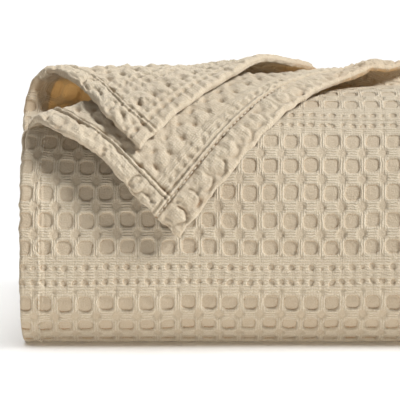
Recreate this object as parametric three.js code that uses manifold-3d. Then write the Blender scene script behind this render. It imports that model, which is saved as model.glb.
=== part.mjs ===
// Folded waffle weave cotton blanket. Units are millimetres, +Z up, front faces -Y.
// The blanket is folded double, then over and over into a bundle, and its free end comes up
// the front and laps on to the top. The near corner of both layers is turned down over the front.
import * as THREE from 'three';
import Module from 'manifold-3d';

// ---- sizes of the bundle
const BUNDLE_W = 440;         // along X, the width of the folded cloth
const BUNDLE_D = 286;         // along Y, fold to fold
const CLOTH = 3.4;            // thickness of the waffle cloth
const PITCH = 6.5;            // from one layer to the next in the pile
const LAYERS = 16;            // layers in the pile, without the lap on top
const HEM_EXTRA = 0.9;        // a hem is this much thicker than the cloth
const SIDE_HEM = 9.5;         // width of the side hem
const END_HEM = 14;           // width of the end hem

// ---- outer wrap: the section that the outermost layer follows
const REST_R = 28;            // rounding where the front leaves the surface
const TOP_R = 54;             // rounding from the front to the top
const FRONT_Y = -BUNDLE_D / 2 + CLOTH / 2;
const BOTTOM_Z = CLOTH / 2;
const ROOF_Z = BOTTOM_Z + (LAYERS + 1) * PITCH;
const RISE = ROOF_Z - BOTTOM_Z - REST_R - TOP_R;
const T_FRONT = REST_R * Math.PI / 2;             // distance along the wrap where the front begins
const T_ARC = T_FRONT + RISE;                     // where the top rounding begins
const T_ROOF = T_ARC + TOP_R * Math.PI / 2;       // where the flat top begins
const JOIN_Y = BUNDLE_D / 2 - 34;                 // where wrap and pile meet, under the bundle
const T_JOIN = FRONT_Y + REST_R - JOIN_Y;
const BULGE = 1.5;            // how far the front swells at half height

// ---- the two outer layers and their turned-down corners
// h: height of the layer over the wrap's section; fold: where the turning line leaves the side hem;
// angle: slope of the turning line; corner: side hem past the turning line; skew: how far out of
// square the corner is pulled; arch, archAt, archLong: how far the side hem bows past the turn, where
// and over what length; lean: how far the side hem has slid along X past the turn, before: the share
// of it before the turn, leanFrom: where along the wrap that begins; turn: radius of the turn at
// distances along the turning line; bends: how soon the line curves back; lie: height of the flap
// where it lies.
const OUTER = {
  h: 0, fold: 116.4, angle: 24.7, corner: 89.0, skew: 0.7, arch: 6.4, archAt: 31.4, archLong: 25.8,
  lean: 2.8, before: 0.9, leanFrom: 79.5, bends: 0, lie: 4.8,
  turn: [[0, 2.8], [60, 2.7], [110, 3.6], [150, 4.8], [180, 5.3]],
};
const INNER = {
  h: -PITCH, fold: 138.7, angle: 21.05, corner: 79.7, skew: 6.55, arch: 5.4, archAt: 25.5, archLong: 24,
  lean: 0, before: 0, leanFrom: 95, bends: 0.0028, lie: 9.4,
  turn: [[0, 9.4], [30, 8.2], [75, 8.2], [105, 9.8], [134, 8.2], [160, 7.2]],
};
const LEAN_REACH = 120;       // how far along X the slide of the side hem fades
const BEND_FROM = 85;         // distance along a turning line where it starts to curve
const ARCH_REACH = 35;        // how far into the flap the bow of its side hem fades
const LIE_REACH = 30;         // how soon a flap settles past its turn

// ---- soft swellings of the outer layers: where along X, how long, how high, on which layer
const SWELLS = [
  { on: 'inner', x: 112, long: 17, high: 3.0 },
  { on: 'outer', x: 158, long: 7, high: 2.8 },
  { on: 'outer', x: 174, long: 6, high: 1.2 },
];

// ---- the pile: layers in the order in which the cloth passes through them
const ORDER = [0, 3, 4, 7, 8, 11, 12, 15, 14, 13, 10, 9, 6, 5, 2, 1];
// how far each fold stays behind the neatest one: a row for each turn of the doubled cloth
const TURNS = [
  { back: 0, front: 0.5, sway: 1.2, left: 4.0 },
  { back: 3.5, front: 0.8, sway: -1.2, left: 6.5 },
  { back: 1.2, front: 0.6, sway: 1.4, left: 3.5 },
  { back: 5.5, front: 1.5, sway: -1.1, left: 7.5 },
];
const SAG = 2.4;              // how far the top of the pile dips between its folds
const SPAN_POINTS = 4;        // points along a layer between its folds
const PILE_STEPS = 5;         // stations of the pile along X

// ---- stations of the outer layers along X, from the side hem
const COLUMNS = [
  0, 4.5, 9.5, 11.5, 18, 26, 34, 43, 52, 61, 70, 79, 88, 98, 108, 117, 126, 135, 145, 152, 158,
  164, 171, 180, 192, 206, 222, 245, 280, 330, 385, 440,
];

const clamp = (v, a, b) => Math.min(b, Math.max(a, v));
const smooth = (v) => {
  const c = clamp(v, 0, 1);
  return c * c * (3 - 2 * c);
};
const mix = (a, b, k) => a + (b - a) * k;
const rad = (deg) => deg * Math.PI / 180;

// angle turned from the front towards the top at a distance along the wrap
const turned = (t) => clamp((t - T_ARC) / TOP_R, 0, Math.PI / 2);

// distance along the section for a length v laid at height h over it
function alongWrap(v, h) {
  if (v <= T_ARC) return v;
  if (v >= T_ROOF + h * Math.PI / 2) return v - h * Math.PI / 2;
  return T_ARC + (v - T_ARC) * TOP_R / (TOP_R + h);
}

// point and outward direction of the wrap's section
function section(t) {
  if (t <= 0) return { y: FRONT_Y + REST_R - t, z: BOTTOM_Z, ny: 0, nz: -1 };
  if (t < T_FRONT) {
    const a = t / REST_R;
    const y = FRONT_Y + REST_R * (1 - Math.sin(a));
    return { y, z: BOTTOM_Z + REST_R * (1 - Math.cos(a)), ny: -Math.sin(a), nz: -Math.cos(a) };
  }
  if (t <= T_ARC) return { y: FRONT_Y, z: BOTTOM_Z + REST_R + t - T_FRONT, ny: -1, nz: 0 };
  const a = turned(t);
  const y = FRONT_Y + TOP_R * (1 - Math.cos(a)) + Math.max(0, t - T_ROOF);
  return { y, z: ROOF_Z - TOP_R * (1 - Math.sin(a)), ny: -Math.cos(a), nz: Math.sin(a) };
}

// share of the front's swelling at a distance along the wrap
const faceSwell = (t) => smooth((t - 10) / 45) * (1 - smooth((t - 60) / 60));

// Y at a height z of a line that stays a distance inside the wrap's section
function innerFront(z, inside) {
  const low = BOTTOM_Z + REST_R;
  const high = ROOF_Z - TOP_R;
  if (z >= low && z <= high) return FRONT_Y + inside;
  const round = z < low ? REST_R : TOP_R;
  const off = z < low ? low - z : z - high;
  return FRONT_Y + round - Math.sqrt(Math.max(0, (round - inside) ** 2 - off ** 2));
}

// how far the outer layers stand out from the plain section
function swell(x, t) {
  const waves = 0.9 * Math.sin(x / 31 + 0.6) * Math.sin(t / 23 + 0.4)
    + 0.6 * Math.sin(x / 17 - 1.1) * Math.sin(t / 37 + 1.9);
  return BULGE * faceSwell(t) + waves * smooth((t - 6) / 30);
}

// radius of a layer's turn, and how far its line has curved back, at p along the turning line
function turnRadius(layer, p) {
  let r = layer.turn[0][1];
  for (let i = 1; i < layer.turn.length; i++) {
    const [p0, r0] = layer.turn[i - 1];
    const [p1, r1] = layer.turn[i];
    r += (r1 - r0) * smooth((p - p0) / (p1 - p0));
  }
  return r;
}
const turnBend = (layer, p) => layer.bends * Math.max(0, p - BEND_FROM) ** 2;

// middle of a layer at s from the side hem and t along the cloth
function layerPoint(layer, s, t) {
  const ux = Math.cos(rad(layer.angle));
  const ut = Math.sin(rad(layer.angle));
  const p = s * ux + (t - layer.fold) * ut;
  const bend = turnBend(layer, p);
  const q = -s * ut + (t - layer.fold) * ux - bend;
  const r = turnRadius(layer, p);
  const half = Math.PI * r / 2;
  const phi = clamp((q + half) / r, 0, Math.PI);
  let across = q;
  if (q > half) across = -q;
  else if (q > -half) across = -half + r * Math.sin(phi);
  let h = layer.h + r * (1 - Math.cos(phi));
  if (q > half) {
    h = layer.lie + (h - layer.lie) * Math.exp(-(q - half) / LIE_REACH);
  }
  const leans = layer.before * smooth((t - layer.leanFrom) / (layer.fold - layer.leanFrom));
  const passed = smooth((phi / Math.PI - 0.2) / 0.8);
  const slide = layer.lean * mix(leans * Math.exp(-s / LEAN_REACH), 1, passed);
  across += bend;
  const sine = Math.sin(2 * rad(layer.angle));
  const cosine = Math.cos(2 * rad(layer.angle));
  const bow = Math.exp(-1 * ((t - layer.fold - layer.archAt) / layer.archLong) ** 2);
  const arch = layer.arch * bow * Math.exp(-s / ARCH_REACH) * passed;
  const pull = rad(layer.skew) * s * passed;
  const x = p * ux - across * ut + slide + (arch - pull) * sine;
  const flatT = layer.fold + p * ut + across * ux + (arch + pull) * cosine;
  const atFold = turned(alongWrap(layer.fold + p * ut, layer.h));
  const along = t <= T_ARC ? t : alongWrap(flatT + (h - layer.h) * atFold, h);
  const end = layer.fold + layer.corner;
  for (const one of SWELLS) {
    const mine = (one.on === 'outer') === (layer === OUTER);
    if (mine) {
      const near = Math.exp(-1 * ((x - one.x) / one.long) ** 2);
      h += one.high * near * smooth((t - end + 26) / 20);
    }
  }
  const at = section(along);
  const out = h + swell(x, along);
  return new THREE.Vector3(x - BUNDLE_W / 2, at.y + at.ny * out, at.z + at.nz * out);
}

// thickness of a layer there, with its hems
function layerThickness(layer, s, t) {
  const side = 1 - smooth((s - SIDE_HEM) / 2);
  const end = smooth((t - (layer.fold + layer.corner - END_HEM) + 2) / 2);
  return CLOTH + HEM_EXTRA * Math.max(side, end) * smooth((t - 2) / 12);
}

// the lengths along the cloth at which a station of a layer has its points
function rows(layer, s) {
  const end = layer.fold + layer.corner;
  const bend = turnBend(layer, s / Math.cos(rad(layer.angle)));
  const line = layer.fold + s * Math.tan(rad(layer.angle)) + bend;
  const r = turnRadius(layer, s);
  const roll = Math.PI * r / Math.cos(rad(layer.angle));
  const from = Math.min(line - roll / 2, end - 30);
  const list = [T_JOIN, T_JOIN * 0.5];
  for (let i = 0; i <= 4; i++) list.push(T_FRONT * i / 4);
  list.push((T_FRONT + T_ARC) / 2, T_ARC);
  for (let i = 1; i <= 6; i++) list.push(mix(T_ARC, from, i / 6));
  const turn = Math.min(roll, end - END_HEM - 6 - from);
  for (let i = 1; i <= 6; i++) list.push(from + turn * i / 6);
  const rest = end - END_HEM - 2 - from - turn;
  for (let i = 1; i <= 3; i++) list.push(from + turn + rest * i / 3);
  list.push(end - END_HEM, end - END_HEM / 2, end);
  return list;
}

// a closed sheet from a grid of its two faces: near[i][j] and far[i][j]
function closedSheet(near, far) {
  const n = near.length;
  const m = near[0].length;
  const points = [];
  for (const side of [near, far]) {
    for (const row of side) for (const p of row) points.push(p.x, p.y, p.z);
  }
  const id = (side, i, j) => side * n * m + i * m + j;
  const faces = [];
  const quad = (a, b, c, d) => faces.push(a, b, c, a, c, d);
  for (let i = 0; i + 1 < n; i++) {
    for (let j = 0; j + 1 < m; j++) {
      quad(id(0, i, j), id(0, i + 1, j), id(0, i + 1, j + 1), id(0, i, j + 1));
      quad(id(1, i, j), id(1, i, j + 1), id(1, i + 1, j + 1), id(1, i + 1, j));
    }
  }
  for (let i = 0; i + 1 < n; i++) {
    quad(id(0, i, 0), id(1, i, 0), id(1, i + 1, 0), id(0, i + 1, 0));
    quad(id(0, i, m - 1), id(0, i + 1, m - 1), id(1, i + 1, m - 1), id(1, i, m - 1));
  }
  for (let j = 0; j + 1 < m; j++) {
    quad(id(0, 0, j), id(0, 0, j + 1), id(1, 0, j + 1), id(1, 0, j));
    quad(id(0, n - 1, j), id(1, n - 1, j), id(1, n - 1, j + 1), id(0, n - 1, j + 1));
  }
  return { points: new Float32Array(points), faces: new Uint32Array(faces) };
}

// an outer layer from under the bundle, up the front, to its turned-down corner
function outerLayer(layer) {
  const near = [];
  const far = [];
  for (const s of COLUMNS) {
    const a = [];
    const b = [];
    for (const t of rows(layer, s)) {
      const e = 0.4;
      const mid = layerPoint(layer, s, t);
      const ds = layerPoint(layer, s + e, t).sub(layerPoint(layer, s - e, t));
      const dt = layerPoint(layer, s, t + e).sub(layerPoint(layer, s, t - e));
      const out = ds.cross(dt).normalize();
      if (t < 0.5) out.set(0, 0, -1);
      const half = layerThickness(layer, s, t) / 2;
      a.push(mid.clone().addScaledVector(out, half));
      b.push(mid.clone().addScaledVector(out, -half));
    }
    near.push(a);
    far.push(b);
  }
  return closedSheet(near, far);
}

// the pile: one strip that goes back and forth, its turns round and nested
function pilePath() {
  const level = (i) => BOTTOM_Z + i * PITCH;
  const path = [];
  const add = (y, z, left, sway, thin) => path.push({ y, z, left, sway, thin });
  const first = TURNS[0];
  add(JOIN_Y - 12, level(0), first.left, 0, 0.8);
  add(JOIN_Y + 2, level(0), first.left, 0, 0.8);
  add(JOIN_Y + 5, level(0), first.left, 0, 0);
  for (let k = 0; k + 1 < ORDER.length; k++) {
    const from = ORDER[k];
    const to = ORDER[k + 1];
    const atBack = k % 2 === 0;
    const middle = (from + to) / 2;
    const turn = TURNS[Math.round(atBack ? (middle - 1.5) / 4 : Math.min(3, (middle - 3.5) / 4))];
    const r = Math.abs(to - from) * PITCH / 2;
    const nest = Math.max(r, middle > LAYERS - 2 ? r : 1.5 * PITCH);
    const centre = atBack
      ? BUNDLE_D / 2 - CLOTH / 2 - 1.5 * PITCH - turn.back
      : innerFront(level(middle), 2 * PITCH + nest) + turn.front;
    const side = atBack ? 1 : -1;
    const climbs = Math.sign(to - from);
    const parts = r > PITCH ? 6 : 4;
    if (path.length > 3) {
      const last = path[path.length - 1];
      for (let i = 1; i <= SPAN_POINTS; i++) {
        const f = i / (SPAN_POINTS + 1);
        add(mix(last.y, centre, f), level(from), mix(last.left, turn.left, f), 0, 0);
      }
    }
    for (let i = 0; i <= parts; i++) {
      const a = Math.PI * i / parts;
      const z = level(middle) - climbs * r * Math.cos(a);
      add(centre + side * r * Math.sin(a), z, turn.left, turn.sway * side, 0);
    }
  }
  add(JOIN_Y + 5, level(1), first.left, 0, 0);
  add(JOIN_Y + 2, level(1), first.left, 0, 0.8);
  add(JOIN_Y - 12, level(1), first.left, 0, 0.8);
  return path;
}

function pile() {
  const path = pilePath();
  const near = [];
  const far = [];
  for (let k = 0; k <= PILE_STEPS; k++) {
    const f = k / PILE_STEPS;
    const a = [];
    const b = [];
    const at = path.map((p) => {
      const high = p.z / ROOF_Z;
      const dip = SAG * high * high * (1 - (2 * p.y / BUNDLE_D) ** 2);
      const sway = p.sway * Math.sin(f * 5.2 + p.z / 19) * (p.z > 12 ? 1 : 0);
      return { y: p.y + sway, z: p.z - dip, p };
    });
    at.forEach((c, i) => {
      const before = at[Math.max(0, i - 1)];
      const after = at[Math.min(at.length - 1, i + 1)];
      const dy = after.y - before.y;
      const dz = after.z - before.z;
      const len = Math.hypot(dy, dz);
      const half = (CLOTH - c.p.thin) / 2;
      const x = mix(-BUNDLE_W / 2 + c.p.left, BUNDLE_W / 2 - 3, f);
      a.push(new THREE.Vector3(x, c.y - dz / len * half, c.z + dy / len * half));
      b.push(new THREE.Vector3(x, c.y + dz / len * half, c.z - dy / len * half));
    });
    near.push(b);
    far.push(a);
  }
  return closedSheet(near, far);
}

const wasm = await Module();
wasm.setup();

function solid(sheet) {
  const mesh = new wasm.Mesh({ numProp: 3, vertProperties: sheet.points, triVerts: sheet.faces });
  mesh.merge();
  const body = new wasm.Manifold(mesh);
  if (body.volume() > 0) return body;
  const turnedFaces = sheet.faces.slice();
  for (let i = 0; i < turnedFaces.length; i += 3) {
    [turnedFaces[i], turnedFaces[i + 1]] = [turnedFaces[i + 1], turnedFaces[i]];
  }
  const again = { numProp: 3, vertProperties: sheet.points, triVerts: turnedFaces };
  return new wasm.Manifold(new wasm.Mesh(again));
}

function toGeometry(body) {
  const mesh = body.getMesh();
  const geometry = new THREE.BufferGeometry();
  const n = mesh.numProp;
  const spots = new Float32Array(mesh.vertProperties.length / n * 3);
  for (let i = 0; i < spots.length / 3; i++) {
    for (let c = 0; c < 3; c++) spots[i * 3 + c] = mesh.vertProperties[i * n + c];
  }
  geometry.setAttribute('position', new THREE.BufferAttribute(spots, 3));
  geometry.setIndex(new THREE.BufferAttribute(new Uint32Array(mesh.triVerts), 1));
  return geometry;
}

const bodies = [pile(), outerLayer(OUTER), outerLayer(INNER)].map(solid);
const blanketBody = wasm.Manifold.union(bodies);
const geometry = toGeometry(blanketBody);
geometry.computeBoundingBox();
const box = geometry.boundingBox;
geometry.translate(-(box.min.x + box.max.x) / 2, -(box.min.y + box.max.y) / 2, -box.min.z);
geometry.computeVertexNormals();

const cotton = new THREE.MeshStandardMaterial({ color: 0xcdbb9b, roughness: 0.95 });
cotton.name = 'cotton';
const blanket = new THREE.Mesh(geometry, cotton);
blanket.name = 'blanket';

const group = new THREE.Group();
group.name = 'waffle_weave_blanket';
group.add(blanket);

export default group;
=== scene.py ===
# %% [markdown]
# A folded blanket of waffle weave cotton.
# The blanket lies folded over and over, its free end comes up the front and laps on to the top,
# and the near corner of both outer layers is turned down over the front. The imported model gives
# the true sizes and the place of every layer. This lesson dresses it: real relief for the weave,
# soft hems, stitches, and a cotton finish. All lengths below are in millimetres until a mesh is
# made.

import math

import bpy
import numpy as np
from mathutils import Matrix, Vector


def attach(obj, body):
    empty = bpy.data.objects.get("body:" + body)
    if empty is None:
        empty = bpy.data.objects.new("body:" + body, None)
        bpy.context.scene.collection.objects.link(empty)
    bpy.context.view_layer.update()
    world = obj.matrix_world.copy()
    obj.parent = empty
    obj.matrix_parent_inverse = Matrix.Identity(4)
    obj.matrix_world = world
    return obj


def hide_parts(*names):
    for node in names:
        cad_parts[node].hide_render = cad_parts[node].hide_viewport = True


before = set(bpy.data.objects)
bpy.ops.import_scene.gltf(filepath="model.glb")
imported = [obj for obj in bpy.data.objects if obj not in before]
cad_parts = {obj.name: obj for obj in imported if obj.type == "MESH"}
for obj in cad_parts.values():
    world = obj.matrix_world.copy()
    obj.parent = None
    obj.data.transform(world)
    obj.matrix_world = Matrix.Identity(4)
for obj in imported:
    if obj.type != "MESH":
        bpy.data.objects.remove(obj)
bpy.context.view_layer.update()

# %% [markdown]
# The sizes of the bundle. They are the same named values from which the solid was built, so that
# every surface made here lies where the solid is. SHIFT is how far the solid was moved to stand at
# the middle of its own box.

# %% Sizes of the bundle
BUNDLE_W, BUNDLE_D = 440.0, 286.0
CLOTH, PITCH, LAYERS = 3.4, 6.5, 16      # thickness, from layer to layer, layers in the pile
HEM_EXTRA = 0.9                # how much thicker a hem is
REST_R, TOP_R = 28.0, 54.0     # roundings where the front leaves the table and turns on to the top
FRONT_Y, BOTTOM_Z = -BUNDLE_D / 2 + CLOTH / 2, CLOTH / 2
ROOF_Z = BOTTOM_Z + (LAYERS + 1) * PITCH
T_FRONT = REST_R * math.pi / 2
T_ARC = T_FRONT + ROOF_Z - BOTTOM_Z - REST_R - TOP_R
T_ROOF = T_ARC + TOP_R * math.pi / 2
JOIN_Y = BUNDLE_D / 2 - 34     # where the wrap leaves the pile, under the bundle
T_JOIN = FRONT_Y + REST_R - JOIN_Y
SHIFT = np.array([0.0887, 3.3174, 0.0002])
print("height without the turned corner", ROOF_Z + CLOTH / 2, "mm")

# %% [markdown]
# The two layers of the wrap and their turned corners. fold is where the turning line leaves the
# side hem and angle its slope; corner is the length of side hem past it. skew, arch and lean tell
# how far the corner is pulled out of square, how far its hem bows, and how far it has slid. turn
# gives the radius of the turn at distances along the line, bends how soon the line curves back,
# lie the height at which the flap settles, and swells where its end hem rises: place, length and
# height.

# %% Sizes of the turned corners
OUTER = {
    "h": 0.0, "fold": 116.4, "angle": 24.7, "corner": 89.0, "skew": 0.7, "arch": 6.4,
    "archAt": 31.4, "archLong": 25.8, "lean": 2.8, "before": 0.9, "leanFrom": 79.5, "bends": 0.0,
    "lie": 4.8, "turn": [(0, 2.8), (60, 2.7), (110, 3.6), (150, 4.8), (180, 5.3)],
    "swells": [(158, 7, 2.8), (174, 6, 1.2)],
}
INNER = {
    "h": -PITCH, "fold": 138.7, "angle": 21.05, "corner": 79.7, "skew": 6.55, "arch": 5.4,
    "archAt": 25.5, "archLong": 24.0, "lean": 0.0, "before": 0.0, "leanFrom": 95.0, "bends": 0.0028,
    "lie": 9.4, "turn": [(0, 9.4), (30, 8.2), (75, 8.2), (105, 9.8), (134, 8.2), (160, 7.2)],
    "swells": [(112, 17, 4.6)],
}
BULGE = 1.5                    # swelling of the front face
LEAN_REACH, BEND_FROM, ARCH_REACH, LIE_REACH = 120.0, 85.0, 35.0, 30.0
LOOSE, LOOSE_REACH, LOOSE_FROM_Z = 15.0, 60.0, 46.0    # how the open side stands off the front
FOLD_SIN, FOLD_COS = math.sin(math.radians(OUTER["angle"])), math.cos(math.radians(OUTER["angle"]))
outer_end, inner_end = OUTER["fold"] + OUTER["corner"], INNER["fold"] + INNER["corner"]
print("wrap length to the end of the outer hem", round(outer_end - T_JOIN), "mm")


# %% [markdown]
# The path round the bundle. A flat point of the cloth is (s, t): s across it from the side hem and
# t along it, from the edge where the front leaves the table. section() gives the place and the
# outward direction of each t in side view. An inner layer has a shorter way round, which
# along_wrap() allows for, and swell() lets the face belly out and waver as soft cloth does.

# %% Path round the bundle
def smooth(v):
    c = np.clip(v, 0, 1)
    return c * c * (3 - 2 * c)


def mix(a, b, k):
    return a + (b - a) * k


def turned(t):
    return np.clip((t - T_ARC) / TOP_R, 0, math.pi / 2)


def along_wrap(v, h):
    top = T_ROOF + h * math.pi / 2
    arc = T_ARC + (v - T_ARC) * TOP_R / (TOP_R + h)
    return np.where(v <= T_ARC, v, np.where(v >= top, v - h * math.pi / 2, arc))


def section(t):
    a, b = np.clip(t / REST_R, 0, math.pi / 2), turned(t)
    low = t < T_FRONT
    y_low = FRONT_Y + REST_R * (1 - np.sin(a)) + np.maximum(0, -t)
    y_high = FRONT_Y + TOP_R * (1 - np.cos(b)) + np.maximum(0, t - T_ROOF)
    z_rise = np.where(t <= T_ARC, BOTTOM_Z + REST_R + t - T_FRONT, ROOF_Z - TOP_R * (1 - np.sin(b)))
    z = np.where(low, BOTTOM_Z + REST_R * (1 - np.cos(a)), z_rise)
    ny, nz = np.where(low, -np.sin(a), -np.cos(b)), np.where(low, -np.cos(a), np.sin(b))
    return np.where(low, y_low, y_high), z, ny, nz


def swell(x, t):
    face = smooth((t - 10) / 45) * (1 - smooth((t - 60) / 60))
    waves = 0.9 * np.sin(x / 31 + 0.6) * np.sin(t / 23 + 0.4)
    waves = waves + 0.6 * np.sin(x / 17 - 1.1) * np.sin(t / 37 + 1.9)
    return BULGE * face + waves * smooth((t - 6) / 30)


print("length up the front and on to the roof", round(T_ROOF), "mm")


# %% [markdown]
# The turned-down corner. The cloth is bent only one way at a time, as real cloth is: over a roll
# along the slanting line, then back down the front. A cloth simulation could drape it, but it
# would settle elsewhere each time a value changed. Formulas keep each fold where the solid has it.
# The free side of the corner is let a little looser than in the solid, so that it stands off the
# front and throws its shadow there.

# %% Turned-down corner
def turn_radius(layer, p):
    r = np.full(np.shape(p), float(layer["turn"][0][1]))
    for (p0, r0), (p1, r1) in zip(layer["turn"][:-1], layer["turn"][1:]):
        r = r + (r1 - r0) * smooth((p - p0) / (p1 - p0))
    return r


def past_fold(layer, s, t):
    """Distance along the slanting line, and past it."""
    angle = math.radians(layer["angle"])
    ux, ut = math.cos(angle), math.sin(angle)
    return s * ux + (t - layer["fold"]) * ut, -s * ut + (t - layer["fold"]) * ux


def from_end(layer, t):
    return layer["fold"] + layer["corner"] - t


def layer_point(layer, s, t):
    """Place of a flat point of a layer, in the middle of the cloth's thickness."""
    angle = math.radians(layer["angle"])
    ux, ut = math.cos(angle), math.sin(angle)
    p, q = past_fold(layer, s, t)
    bend = layer["bends"] * np.maximum(0, p - BEND_FROM) ** 2
    q = q - bend
    r = turn_radius(layer, p)
    half = math.pi * r / 2
    phi = np.clip((q + half) / r, 0, math.pi)
    across = np.where(q > half, -q, np.where(q > -half, -half + r * np.sin(phi), q)) + bend
    h = layer["h"] + r * (1 - np.cos(phi))
    settle = np.exp(-np.maximum(q - half, 0) / LIE_REACH)
    h = np.where(q > half, layer["lie"] + (h - layer["lie"]) * settle, h)
    leans = layer["before"] * smooth((t - layer["leanFrom"]) / (layer["fold"] - layer["leanFrom"]))
    passed = smooth((phi / math.pi - 0.2) / 0.8)
    slide = layer["lean"] * mix(leans * np.exp(-s / LEAN_REACH), 1, passed)
    bow = np.exp(-(((t - layer["fold"] - layer["archAt"]) / layer["archLong"]) ** 2))
    arch = layer["arch"] * bow * np.exp(-s / ARCH_REACH) * passed
    pull = math.radians(layer["skew"]) * s * passed
    x = p * ux - across * ut + slide + (arch - pull) * math.sin(2 * angle)
    flat_t = layer["fold"] + p * ut + across * ux + (arch + pull) * math.cos(2 * angle)
    at_fold = turned(along_wrap(layer["fold"] + p * ut, layer["h"]))
    along = np.where(t <= T_ARC, t, along_wrap(flat_t + (h - layer["h"]) * at_fold, h))
    for at, long, high in layer["swells"]:
        h = h + high * np.exp(-(((x - at) / long) ** 2)) * smooth((26 - from_end(layer, t)) / 20)
    y, z, ny, nz = section(along)
    out = h + swell(x, along)
    y, z = y + ny * out, z + nz * out
    below = x * FOLD_SIN - (along - OUTER["fold"]) * FOLD_COS
    loose = LOOSE * np.exp(-x / LOOSE_REACH) * smooth((z - LOOSE_FROM_Z) / 42)
    y = y - (loose + 2 * np.exp(-x / 120)) * passed * smooth(below / 18)
    return np.stack([x - BUNDLE_W / 2, y, z], -1)


def layer_frame(layer, s, t, e=0.4):
    """The same place, and the direction that faces away from the cloth there."""
    ds = layer_point(layer, s + e, t) - layer_point(layer, s - e, t)
    dt = layer_point(layer, s, t + e) - layer_point(layer, s, t - e)
    out = np.cross(ds, dt)
    out /= np.linalg.norm(out, axis=-1, keepdims=True)
    out[t < 0.5] = (0, 0, -1)  # under the bundle
    return layer_point(layer, s, t), out


corner = layer_point(OUTER, np.zeros(1), np.full(1, outer_end))[0]
print("corner of the outer layer", np.round(corner + SHIFT, 1))


# %% [markdown]
# The weave. A waffle weave is a grid of cells: thick cords of yarn stand up round a sunken square
# floor. Here a cell is 9 mm wide and 11.75 mm high. Upright cords stand left and right of each
# floor, a block of level threads lies above and below it, and a small pad sinks where four cells
# meet. After each five rows comes a woven stripe with two rows of small pits. It could be painted
# as bump alone, but the cells are large enough to cast shadows and to show at the edge of the
# cloth, so they are real relief, with a height from 0 to 1 at any flat point. First come its
# tools: a repeatable chance for each cell, a smooth noise, a bell and a hollow.

# %% Chance, noise, bells and hollows
def chance(i, j, k):
    """A fixed number from 0 to 1 for each cell (i, j) and each use k, never seeded by the clock."""
    v = np.sin(i * 12.9898 + j * 78.233 + k * 37.719) * 43758.5453
    return v - np.floor(v)


def noise(x, y, use):
    i, j = np.floor(x), np.floor(y)
    fx, fy = smooth(x - i), smooth(y - j)
    low = mix(chance(i, j, use), chance(i + 1, j, use), fx)
    high = mix(chance(i, j + 1, use), chance(i + 1, j + 1, use), fx)
    return 2 * mix(low, high, fy) - 1


def bell(v, width):
    return np.exp(-((v / width) ** 2))


def hollow(u, v, a, b, soft=0.55):
    """1 inside an ellipse of half widths a and b, fading to 0 at its rim."""
    return 1 - smooth((np.sqrt((u / a) ** 2 + (v / b) ** 2) - 1 + soft / 2) / soft)


print("noise at one point", round(float(noise(np.array(0.3), np.array(0.6), 21)), 3))

# %% [markdown]
# Where a point lies in the weave. No cloth is woven dead straight, so the flat place is first
# moved by a few tenths of a millimetre. Then u and v run from the middle of the nearest floor, and
# band runs up from the last row of a group of five, across the stripe that follows it.

# %% Place in the weave
CELL_W, CELL_H = 9.0, 11.75
FIRST_COLUMN, FIRST_ROW = 2.0, 59.4
GROUP = 71.1                   # from one group of five rows to the next
STRIPE = 24.1                  # between the rows on both sides of a stripe
DEPTH = 1.2                    # from the top of a cord to a floor


def woven_place(s, t):
    s = s + 0.32 * np.sin(s / 37 + t / 19) + 0.22 * np.sin(t / 7.3 + s / 23) + 0.1 * np.sin(t / 2.9)
    t = t + 0.34 * np.sin(s / 17 + 0.7) + 0.2 * np.sin(s / 6.1 - t / 29) + 0.1 * np.sin(s / 2.3)
    column = np.round((s - FIRST_COLUMN) / CELL_W)
    u = s - FIRST_COLUMN - column * CELL_W
    group = np.floor((t - FIRST_ROW) / GROUP)
    g = t - FIRST_ROW - group * GROUP
    last = 4 * CELL_H
    after = g > last + STRIPE / 2
    row = np.where(after, 5, np.clip(np.round(g / CELL_H), 0, 4))
    v = np.where(after, g - GROUP, g - row * CELL_H)
    return s, t, u, v, g - last, column, group * 6 + row


def from_pad(u, v):
    """Distances across and along from the middle of the pad where four cells meet."""
    return np.abs(np.abs(u) - CELL_W / 2), np.abs(np.abs(v) - CELL_H / 2)


print("floors across the front", round(BUNDLE_W / CELL_W))
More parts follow.
